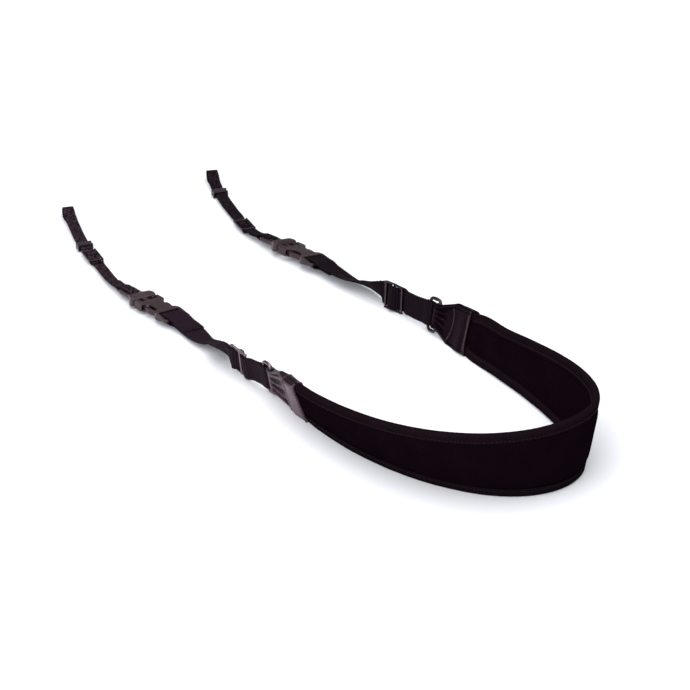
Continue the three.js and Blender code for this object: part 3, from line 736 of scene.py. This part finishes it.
def tab_height(d, c, side):
    """Height of the middle of one leather layer; its edges close on the other layer's."""
    end = side.tab
    mouth = PAD_THICK / 2 + GAP + TAB_THICK / 2
    closed = TAB_THICK / 2 + 0.25
    wrap = RING_ROD + GAP + TAB_THICK / 2
    flat = mix(mouth, closed, smooth(PAD_TUCKED - 5, PAD_TUCKED + 12, d))
    flat = mix(flat, wrap, smooth(end - 17, end - RING_SLACK, d))
    flat = flat - 0.35 * bump(d, -4, 5)
    half = tab_half(d, side)
    radius = mix(3.4, 1.7, smooth(8, 20, d))
    x = np.clip((np.abs(c) * half - (half - radius)) / radius, 0, 1)
    round_edge = np.sqrt(np.clip(1 - x * x, 0, 1))
    around_rod = smooth(end - 9, end - 5, d)
    return mix(0.03 + (flat - 0.03) * round_edge, flat, around_rod)


def seam_line(x, side):
    """Distance of the line where the smooth half ends, at x across the tab."""
    return side.seam + side.slant * x + side.arch * (x * x - 0.3)


def tab_relief(d, c, side):
    """How far the outside stands over its plain sheet, and its colour's painted light there:
    positive for painted highlight, negative for painted shade.
    """
    half = tab_half(d, side)
    from_edge = half * (1 - np.abs(c))
    inner = np.clip((half - 2.8) / half, 0.2, 1)
    x = np.clip(c / inner, -1, 1)
    # the line where the smooth half ends, over the gathered half
    seam = seam_line(x, side)
    over = 1 - smooth(seam - 0.35, seam + 0.35, d)
    # pleats that fan out from the ring, each one lying over the next
    gathered = smooth(seam + 0.2, seam + 1.4, d)
    reach = gathered * smooth(side.fold_end, side.fold_end + 9, d)
    reach = reach * (1 - smooth(side.tab - 5, side.tab + 1, d))
    bend = 0.22 * np.sin(pi * np.clip((d - seam) / (side.tab - seam), 0, 1))
    t = (side.folds * (x + bend) + 40.2) % 1.0
    fold = np.where(t < 0.8, (t / 0.8) ** 1.3, np.clip(1 - (t - 0.8) / 0.2, 0, 1) ** 2)
    inside_hem = smooth(2.2, 3.4, from_edge)
    pleat = reach * inside_hem * (2.4 * fold - 1.0)
    # turned hems along both edges, a groove inside them, and rolled ends on the smooth half
    hem = (0.45 - 0.1 * gathered) * (1 - smooth(1.9, 2.7, from_edge))
    hem = hem - 0.5 * bump(from_edge, 3.1, 0.7) * smooth(8, 14, d)
    mouth = mix(*side.mouth[::-1], (c + 1) / 2)
    start = bump(d, mouth + 0.7, 1.1)
    roll = 0.75 * bump(d, seam - 0.8, 0.9) * (over > 0.02) + 0.35 * start
    groove = -0.35 * bump(d, seam - 3.2, 0.8) - 0.35 * bump(d, mouth + 3.4, 0.8)
    sewn = (0.55 * over + roll + groove) * smooth(0.2, 3.0, from_edge)
    height = hem + pleat + sewn
    # paler lines: painted highlight on the seam's roll, the lower hem, the pleat ridges and the
    # nose round the rod, and a paler line along the mouth
    near_rod = 1 - smooth(side.tab - 6, side.tab - 1, d)
    painted_highlight_and_shade = (1.0 * bump(d, seam - 0.6, 0.8) * (over > 0.05) + 0.9 * start
            + 0.7 * bump(from_edge, 1.2, 1.0) * near_rod * (c < 0)
            + 0.8 * reach * inside_hem * fold ** 4 + 0.55 * bump(d, side.tab + 1.5, 1.8))
    # painted shade in the valleys of the pleats and in the grooves, and along the upper edge
    dark = (reach * inside_hem * (1 - fold) ** 0.7 + 0.8 * bump(from_edge, 3.1, 0.8)
            + (1 - smooth(0.6, 1.8, from_edge)) * (c > 0))
    return height * smooth(-0.4, 1.2, from_edge + 0.35), np.clip(painted_highlight_and_shade - dark, -1, 1)


def tab_grid(side):
    """Rows of the middle surface from the mouth, round the ring's bar and back, in strap
    coordinates, with the relief of its outside and its painted highlight and shade."""
    step, columns = 0.55, 47
    c = np.sin(np.linspace(-1, 1, columns) * pi / 2 * 0.94) / sin(pi / 2 * 0.94)
    upper, lower = side.mouth
    first = (upper + lower) / 2
    front = np.arange(first, side.tab - 0.3, step)
    wrap = RING_ROD + GAP + TAB_THICK / 2

    def straight(d, sign):
        slant = (mix(lower, upper, (c + 1) / 2) - first) * (1 - smooth(first, first + 16, d))
        at = d + slant
        height, painted_highlight_and_shade = tab_relief(at, c, side)
        return at, c * tab_half(d, side), sign * tab_height(at, c, side), height, painted_highlight_and_shade

    rows = [straight(d, 1) for d in front]
    for a in np.radians(np.linspace(90, -90, 17)):
        d = side.tab + wrap * cos(a)
        rows.append(np.broadcast_arrays(d, c * TAB_BAR / 2, wrap * sin(a),
                                        *tab_relief(d, c, side)))
    return np.array(rows + [straight(d, -1) for d in front[::-1]])


def leather_tab(side):
    grid = tab_grid(side)
    middle = np.moveaxis(grid[:, :3], 1, 2)
    normal = unit(np.cross(np.gradient(middle, axis=0), np.gradient(middle, axis=1)))
    centre = grid.shape[2] // 2
    normal *= np.sign(normal[len(grid) // 4, centre, 2])
    high, painted_highlight_and_shade = grid[:, 3], grid[:, 4]
    edge = np.abs(middle[:, :, 1]) / np.abs(middle[:, -1:, 1])
    round_off = np.sqrt(np.clip(1 - ((edge - 0.975) / 0.026).clip(0) ** 2, 0.12, 1))
    top = middle + normal * ((TAB_THICK / 2 + high) * round_off)[..., None]
    bottom = middle - normal * ((TAB_THICK / 2 - 0.05) * round_off)[..., None]
    points, strap = [], []
    for i, a in enumerate(travelled(middle[:, centre])):
        points += [top[i], bottom[i, ::-1]]
        u = middle[i, :, 1]
        strap += [stack(a, u, painted_highlight_and_shade[i]), stack(a, u[::-1], 0)]
    name = f"{side.name}_leather_tab"
    new_piece(f"{name}_pleated", soft_on_side(side)(*np.vstack(points).T),
              tube_faces(len(grid), 2 * grid.shape[2]), LEATHER[side.name], [name],
              strap)
    tab_stitches(side)


def tab_stitches(side):
    """Rows of stitches at the mouth, beside the seam and along both hems, on both faces."""
    rows = []

    def add(d, u, angle):
        c = u / tab_half(d, side)
        top = tab_height(d, c, side) + TAB_THICK / 2 + tab_relief(d, c, side)[0]
        rows.extend(both_faces(d, u, top, angle))

    upper, lower = side.mouth
    half = tab_half(0, side)
    reach = half - 3.6
    slope = (upper - lower) / (2 * half)
    for u in np.linspace(-reach, reach, int(2 * reach / 2.7)):
        add(mix(lower, upper, (u / half + 1) / 2) + 3.4, u, pi / 2 - atan(slope))
        x = u / half / 0.85
        steep = (2 * side.arch * x + side.slant) / half
        add(seam_line(x, side) - 3.2, u, pi / 2 - atan(steep))
    for d in np.arange(8.5, side.tab - 4, 2.7):
        slope = tab_half(d + 0.5, side) - tab_half(d - 0.5, side)
        u = tab_half(d, side) - 1.9
        add(d, u, atan(slope))
        add(d, -u, -atan(slope))
    stitches(f"{side.name}_tab_stitching", soft_on_side(side), rows, radius=0.22,
             length=1.9)


# ---- webbing
def line(d0, d1, height, step=0.8):
    d = np.linspace(d0, d1, max(2, int(abs(d1 - d0) / step) + 1))
    return np.column_stack([d, height(d)])


def half_turn(centre, r, sign):
    angles = np.linspace(0, pi, 17)
    return np.column_stack([centre + sign * r * np.sin(angles), r * np.cos(angles)])


def woven(d0, d1, glide, at, thickness, weave):
    """Middle line, from d0 to d1, of two layers woven through a glide's three bars."""
    def height(d):
        away = np.abs(d - at) - glide.pitch
        inside = weave * np.cos(pi * (d - at) / glide.pitch)
        outside = -weave * (1 - smooth(0, glide.fade, away))
        return amplitude * np.where(away <= 0, inside, outside)

    amplitude = glide.bar + GAP + thickness + LAYER_GAP / 2
    return line(d0, d1, height, 0.5)


def looped(way, sewn, bar, wrap, free, height, doubled, tail, layer, turn, radius, opening):
    """Path from the sewn end round the buckle's bar, on as one layer to free, then along the
    doubled part, round its turn and back along tail. way is 1 where the sewn end runs outwards
    to the bar and -1 where it runs inwards; opening says where the layers part for the turn."""
    def one_layer(points, sign):
        moved = points + normals_of(points) * (sign * layer)
        moved[:, 1] += sign * (radius - layer) * opening(moved[:, 0])
        return moved

    return np.vstack([
        line(sewn, bar - way, lambda d: -height(d)),
        half_turn(bar, wrap, way)[::-1],
        line(bar - way, free, height),
        one_layer(doubled, 1)[::-way],
        half_turn(turn, radius, -way),
        one_layer(tail, -1)[::way],
    ])


def wide_path(side):
    layer = (WIDE_THICK + LAYER_GAP) / 2
    wrap = BUCKLE_BAR + GAP + WIDE_THICK / 2
    turn = side.tab + RING_PITCH - 2 * RING_SLACK
    opened = turn + RING_SLACK
    doubled = woven(turn + 1, side.glide + 18, WIDE_GLIDE, side.glide, WIDE_THICK, WIDE_WEAVE)
    return looped(
        1, side.buckle - SEWN_WIDE, side.buckle + WIDE_BAR, wrap, side.glide + 21,
        lambda d: mix(layer, wrap, smooth(side.buckle - 9, side.buckle - 0.5, d)),
        doubled, doubled[doubled[:, 0] < side.glide + 17], layer,
        turn, RING_ROD + GAP + WIDE_THICK / 2, lambda d: 1 - smooth(opened, opened + 9, d))


def narrow_sewn(side):
    """From where to where the narrow webbing's end is sewn back on itself."""
    outside = side.buckle + BUCKLE_LENGTH + 0.5
    return outside, outside + min(SEWN_NARROW, side.slider - 17 - outside - 4)


def narrow_path(side):
    layer = (NARROW_THICK + LAYER_GAP) / 2
    wrap = BUCKLE_BAR + GAP + NARROW_THICK / 2
    outside, sewn_end = narrow_sewn(side)
    eye = side.end - EYE_RADIUS - NARROW_THICK / 2
    doubled = woven(side.slider - 17, eye - 0.5, NARROW_GLIDE, side.slider, NARROW_THICK,
                    side.weave)
    return looped(
        -1, sewn_end, side.buckle + NARROW_BAR, wrap, side.slider - 19,
        lambda d: mix(wrap, layer, smooth(outside, outside + 8, d)), doubled, doubled, layer,
        eye, EYE_RADIUS, lambda d: smooth(eye - EYE_LENGTH, eye, d))


def webbing(side, kind, path, width, thickness, columns):
    """A woven band with raised ribs across it and a scalloped selvedge."""
    pitch = RIB[kind]
    a, points = resample(path, pitch / 8, 8)
    normal = normals_of(points)
    across = np.linspace(-1, 1, columns)
    round_edge = arc(90, -90, 3)
    drift = strays(5 + side.sign + len(kind), len(a), 61, 0.25)
    rows, strap = [], []
    for distance, (d, v), (nd, nv), stray in zip(a, points, normal, drift):
        rib = abs(cos(pi * distance / pitch)) ** 0.7
        high = 0.26 * (rib - 0.75)
        flat_half = width / 2 - thickness / 2 + stray
        selvedge = 0.24 * np.cos(2 * pi * distance / pitch)
        weave = 0.05 * np.cos(pi * across * columns / 2 + pi * round(distance / pitch))
        top_u, top_v = across * flat_half, thickness / 2 + high + weave
        edge = thickness / 2 + high * 0.6
        right_u = flat_half + (edge + selvedge) * np.cos(round_edge)
        right_v = edge * np.sin(round_edge)
        u = np.concatenate([top_u, right_u, top_u[::-1], -right_u])
        off = np.concatenate([top_v, right_v, -top_v[::-1], -right_v])
        rows.append(stack(d + nd * off, u, v + nv * off))
        strap.append(stack(distance, u, off))
    name = f"{side.name}_{kind}_webbing"
    new_piece(f"{name}_woven", soft_on_side(side)(*np.vstack(rows).T),
              tube_faces(len(rows), len(u)), WEBBING[side.name, kind], [name],
              strap)


def webbing_stitches(side):
    """Rows across that hold each folded end to the buckle, and the foot of the end loop."""
    rows = []

    def cross_row(d, reach, height):
        for u in np.linspace(-reach, reach, int(2 * reach / 2.4) + 1):
            rows.extend(both_faces(d, u, height, pi / 2))

    wide_top = LAYER_GAP / 2 + WIDE_THICK + 0.1
    for off in (1.6, 4.0):
        cross_row(side.buckle - SEWN_WIDE + off, WIDE_WIDTH / 2 - 2, wide_top)
    narrow_top = LAYER_GAP / 2 + NARROW_THICK + 0.1
    sewn_end = narrow_sewn(side)[1]
    eye_foot = side.end - EYE_RADIUS - EYE_LENGTH - 4
    for d in (sewn_end - 1.4, sewn_end - 3.6, eye_foot, eye_foot - 2.4):
        cross_row(d, NARROW_WIDTH / 2 - 1.4, narrow_top)
    stitches(f"{side.name}_webbing_stitching", soft_on_side(side), rows,
             radius=0.26, length=1.9)


# ---- moulded hardware
def prism(work, outline, v0, v1, cuts=()):
    """Adds outline [(d, u), ...] made solid from v0 to v1, cut across at the given distances."""
    bottom = [work.verts.new((d, u, v0)) for d, u in outline]
    face = work.faces.new(bottom)
    made = bmesh.ops.extrude_face_region(work, geom=[face])
    top = [g for g in made["geom"] if isinstance(g, bmesh.types.BMVert)]
    bmesh.ops.translate(work, verts=top, vec=(0, 0, v1 - v0))
    mine = set(bottom) | set(top)
    for cut in cuts:
        geometry = [v for v in mine if v.is_valid]
        edges = {e for v in geometry for e in v.link_edges}
        faces = {f for v in geometry for f in v.link_faces}
        made = bmesh.ops.bisect_plane(work, geom=[*geometry, *edges, *faces],
                                      plane_co=(cut, 0, 0), plane_no=(1, 0, 0))
        mine |= {g for g in made["geom_cut"] if isinstance(g, bmesh.types.BMVert)}
    return [v for v in mine if v.is_valid]


def slab(work, d0, d1, u0, u1, v0, v1):
    return prism(work, [(d0, u0), (d1, u0), (d1, u1), (d0, u1)], v0, v1)


def cross_rod(work, d, radius, half):
    """Adds a round rod across the strap."""
    bmesh.ops.create_cone(
        work, cap_ends=True, segments=24, radius1=radius, radius2=radius, depth=2 * half,
        matrix=Matrix.Translation((d, 0, 0)) @ Matrix.Rotation(pi / 2, 4, "X"))


def pair(sign, a, b):
    """From a to b on the side that sign says, the lower value first."""
    return sorted((sign * a, sign * b))


def mirrored(half):
    return [*half, *[(d, -u) for d, u in reversed(half)]]


def moulded(side, part, work, voxel, keep, material, start=0):
    """Fuses the solids in work into one moulding with soft edges and lays it on the route."""
    node = f"{side.name}_{part}"
    mesh = bpy.data.meshes.new(f"{node}_moulding")
    bmesh.ops.recalc_face_normals(work, faces=work.faces)
    work.to_mesh(mesh)
    work.free()
    piece = add_object(mesh.name, mesh)
    remesh = piece.modifiers.new("fuse", "REMESH")
    remesh.mode, remesh.voxel_size = "VOXEL", voxel * 1
    soften = piece.modifiers.new("soften", "SMOOTH")
    soften.factor, soften.iterations = 0.5, 4
    piece.modifiers.new("fewer", "DECIMATE").ratio = keep
    bake_modifiers(piece)
    move_points(piece.data, on_side(side, start)(*points_of(piece.data).T) * MM)
    piece.data.materials.clear()
    finish_piece(piece, material, [node])


def taper(verts, profile):
    """Scales v by a factor that changes along the piece, given as [(d, factor), ...]."""
    d, factor = zip(*profile)
    for vert in verts:
        vert.co.z *= np.interp(vert.co.x, d, factor)


def socket(side):
    """The half of the buckle that the prongs click into: two plates joined by side walls."""
    work = bmesh.new()
    thick, wall, wide, waist, mouth = 3.8, 1.35, 13.3, 7.0, 12.4
    end, plate_end, notch = 46.5, 40.0, 8.4
    plates = mirrored([(14.4, wide), (17, wide - 0.9), (19, wide - 2.6), (20.4, waist + 1.4),
                       (21.8, waist), (30.6, waist), (33, waist + 1.6), (35.6, mouth - 1.2),
                       (38, mouth), (end, mouth), (end, notch), (plate_end + 0.8, notch),
                       (plate_end, notch - 0.8)])
    cuts = [17, 19, 22, 26, 30, 34, 37, 43]
    body = []
    for sign in (1, -1):
        body += prism(work, plates, *pair(sign, thick - wall, thick), cuts)
        # lips along the slot and the notch, and one round each end of the side arms
        lip = pair(sign, thick - 0.5, thick + 0.4)
        body += slab(work, 14.5, 16.0, -12.4, 12.4, *lip)
        body += slab(work, 38.4, 39.8, -8.2, 8.2, *lip)
        for arm in (1, -1):
            body += slab(work, 44.6, 46.2, *pair(arm, 8.7, 12.2), *lip)
    body += prism(work, [(14.4, -wide), (18.6, -wide + 1.6), (18.6, wide - 1.6), (14.4, wide)],
                  -thick + 0.2, thick - 0.2, [16])
    rail = [(0, wide - 2.2), (0.8, wide - 0.8), (2.4, wide), (15, wide), (15, 11.1), (0, 11.1)]
    for sign in (1, -1):
        body += slab(work, 36.4, end, *pair(sign, 10.9, mouth), -thick + 0.2, thick - 0.2)
        body += prism(work, [(b, sign * u) for b, u in rail], -thick, thick,
                      [2.4, 4, 6, 8, 10, 12])
    taper(body, [(0, 0.42), (5, 0.42), (15, 0.86), (22, 1), (43, 1), (end, 0.88)])
    for b in (BUCKLE_BAR, WIDE_BAR):
        cross_rod(work, b, BUCKLE_BAR, 12.4)
    moulded(side, "buckle_socket", work, 0.34, 0.3, PLASTIC, side.buckle)


def fork(side):
    """The half of the buckle with the two sprung prongs and the middle guide."""
    work = bmesh.new()
    thick, mouth, narrow = 4.4, 12.4, 7.6
    base = mirrored([(48, mouth - 1), (49, mouth), (53, mouth - 0.2), (55.4, mouth - 1.3),
                     (57.5, narrow + 2), (60, narrow + 0.4), (62, narrow)])
    body = prism(work, base, -thick, thick, [50, 52, 54, 56, 58, 60])
    rail = [(61.8, 5.6), (61.8, narrow), (74.5, narrow), (75.9, narrow - 1.4), (75.9, 5.6)]
    for sign in (1, -1):
        body += prism(work, [(b, sign * u) for b, u in rail], -thick, thick, [64, 67, 71])
        for b in (50.0, 52.6, 55.2):  # grip ribs across the shoulder
            reach = np.interp(b, [50, 56], [10.8, 8.8])
            body += slab(work, b - 0.45, b + 0.45, -reach, reach,
                         *pair(sign, thick - 0.6, thick + 0.4))
    taper(body, [(48, 0.64), (51, 1), (55.5, 1), (60.4, 0.5), (64, 0.366), (76, 0.366)])
    for b in (BUCKLE_LENGTH - BUCKLE_BAR, NARROW_BAR):
        cross_rod(work, b, BUCKLE_BAR, 6.8)
    prong = [(50, 9.9), (50, 7.3), (46, 7.5), (34, 8.3), (20, 8.3), (20, 9.1), (21.5, 10.3),
             (24.6, 11.0), (29, 11.7), (31, 11.6), (32, 11.2), (32, 9.8)]
    for sign in (1, -1):
        prism(work, [(b, sign * u) for b, u in prong], -2.1, 2.1)
        for b in (25.2, 27.4):  # grip ribs on the ends that are pressed
            out = np.interp(b, [20, 29], [10.4, 12.1])
            slab(work, b, b + 0.9, *pair(sign, out - 1, out), -2.3, 2.3)
    prism(work, mirrored([(30, 2), (50, 2.6)]), -2.1, 2.1)
    moulded(side, "buckle_fork", work, 0.34, 0.3, PLASTIC, side.buckle)


def triglide(side, kind, centre, web, sizes):
    """Three-bar glide: two rails joined by three round bars, with a nub at each corner."""
    bar, pitch, rail = sizes.bar, sizes.pitch, sizes.rail
    inner = web / 2 + 0.4
    outer = inner + rail
    reach = pitch + bar
    half = [(-reach, inner), (-reach, outer - 1.3), (1.3 - reach, outer), (reach - 1.3, outer),
            (reach, outer - 1.3), (reach, inner)]
    work = bmesh.new()
    for sign in (1, -1):
        prism(work, [(centre + d, sign * u) for d, u in half], -bar, bar)
        for d in (-pitch, pitch):
            slab(work, centre + d - 1.1, centre + d + 1.1, *pair(sign, inner + 0.1, outer - 0.2),
                 -bar - 0.4, bar + 0.4)
        slab(work, centre - 1.2, centre + 1.2, *pair(sign, inner + 0.1, outer),
             -bar - 0.3, bar + 0.3)
    for d in (-pitch, 0, pitch):
        cross_rod(work, centre + d, bar, inner + rail / 2)
    moulded(side, f"{kind}_triglide", work, 0.26, 0.4,
            NYLON if kind == "narrow" else ROD[side.name])


def keeper(side):
    """Small closed loop with a groove round its middle."""
    half = NARROW_WIDTH / 2 + 0.6
    tall = NARROW_THICK + LAYER_GAP / 2 + 0.35
    d0, d1 = side.keeper - KEEPER_LENGTH / 2, side.keeper + KEEPER_LENGTH / 2
    outer_u, outer_v = half + KEEPER_WALL, tall + 1
    work = bmesh.new()
    for low, high, more in ((d0, d1, 0), (d0, d0 + 1.3, 0.35), (d1 - 1.3, d1, 0.35)):
        for sign in (1, -1):
            slab(work, low, high, *pair(sign, half, outer_u + more), -outer_v - more,
                 outer_v + more)
            slab(work, low, high, -outer_u, outer_u, *pair(sign, tall, outer_v + more))
    moulded(side, "keeper", work, 0.24, 0.35, NYLON)


def ring(side):
    """Rod bent into a rounded rectangle, a little thicker where its ends are welded."""
    d0 = side.tab - RING_SLACK
    d1 = d0 + RING_PITCH
    corner, half = RING_CORNER, RING_HALF
    centres = np.array([(d1 - corner, half - corner), (d0 + corner, half - corner),
                        (d0 + corner, corner - half), (d1 - corner, corner - half)])
    bends = []
    for index, centre in enumerate(centres):
        turn = np.radians(np.linspace(index * 90, index * 90 + 90, 9))
        bends += [(centre, angle) for angle in turn]
        ahead = centres[(index + 1) % 4]
        bends += [(mix(centre, ahead, t), turn[-1]) for t in np.linspace(0, 1, 12)[1:-1]]
    sides = 16
    round_rod = np.arange(sides) * 2 * pi / sides
    rows = []
    for (d, u), a in bends:
        weld = bump(u + corner * sin(a), half, 1.2)
        weld = weld * bump(d + corner * cos(a), (d0 + d1) / 2, 1.6)
        r = RING_ROD * (1 + 0.16 * weld)
        out = corner + r * np.cos(round_rod)
        rows.append(stack(d + out * cos(a), u + out * sin(a) + side.ring_shift,
                          r * np.sin(round_rod)))
    name = f"{side.name}_ring"
    new_piece(f"{name}_rod", on_side(side)(*np.vstack(rows).T),
              tube_faces(len(rows), sides, closed=True), ROD[side.name], [name])


# ---- build
pad_core()
binding("pad_binding_upper", 1)
binding("pad_binding_lower", -1)
binding_stitches()
for SIDE in SIDES:
    leather_tab(SIDE)
    ring(SIDE)
    webbing(SIDE, "wide", wide_path(SIDE), WIDE_WIDTH, WIDE_THICK, 23)
    webbing(SIDE, "narrow", narrow_path(SIDE), NARROW_WIDTH, NARROW_THICK, 13)
    webbing_stitches(SIDE)
    triglide(SIDE, "wide", SIDE.glide, WIDE_WIDTH, WIDE_GLIDE)
    triglide(SIDE, "narrow", SIDE.slider, NARROW_WIDTH, NARROW_GLIDE)
    socket(SIDE)
    fork(SIDE)
    keeper(SIDE)


# ---- studio
def floor():
    mesh = bpy.data.meshes.new("table")
    reach = 5
    corners = [(x * reach, y * reach, 0) for x, y in ((-1, -1), (1, -1), (1, 1), (-1, 1))]
    mesh.from_pydata(corners, [], [(0, 1, 2, 3)])
    table = add_object("table", mesh)
    mesh.materials.append(new_material(
        "white_table", (0.86, 0.865, 0.88), 0.55, 0.3, Emission_Color=(0.75, 0.82, 1.0, 1),
        Emission_Strength=0.085).owner)


def softbox(name, place_at, size, power):
    """A square light that looks at the middle of the table."""
    data = bpy.data.lights.new(name, "AREA")
    data.shape, data.size, data.energy = "SQUARE", size, power
    light = add_object(name, data)
    light.location = place_at
    light.rotation_mode = "QUATERNION"
    light.rotation_quaternion = (-Vector(place_at)).to_track_quat("-Z", "Y")


def studio():
    """White table under a broad soft light; the room is dark at table level."""
    floor()
    softbox("overhead_softbox", (0.15, 0.1, 2.1), 3.2, 64)
    softbox("front_softbox", (0.5, -1.7, 1.0), 2.0, 26)
    world = bpy.data.worlds.new("studio")
    bpy.context.scene.world = world
    world.use_nodes = True
    n = Nodes(world)
    background = world.node_tree.nodes["Background"]
    up = n.split(n.node("ShaderNodeTexCoord", {}, "Generated"))[2]
    n.link(n.blend(n.ramp(up, 0.04, 0.95), (0.24, 0.24, 0.26), (0.95, 0.95, 1.0)),
           background.inputs["Color"])
    background.inputs["Strength"].default_value = 0.55
    bpy.context.scene.view_settings.view_transform = "Standard"


studio()
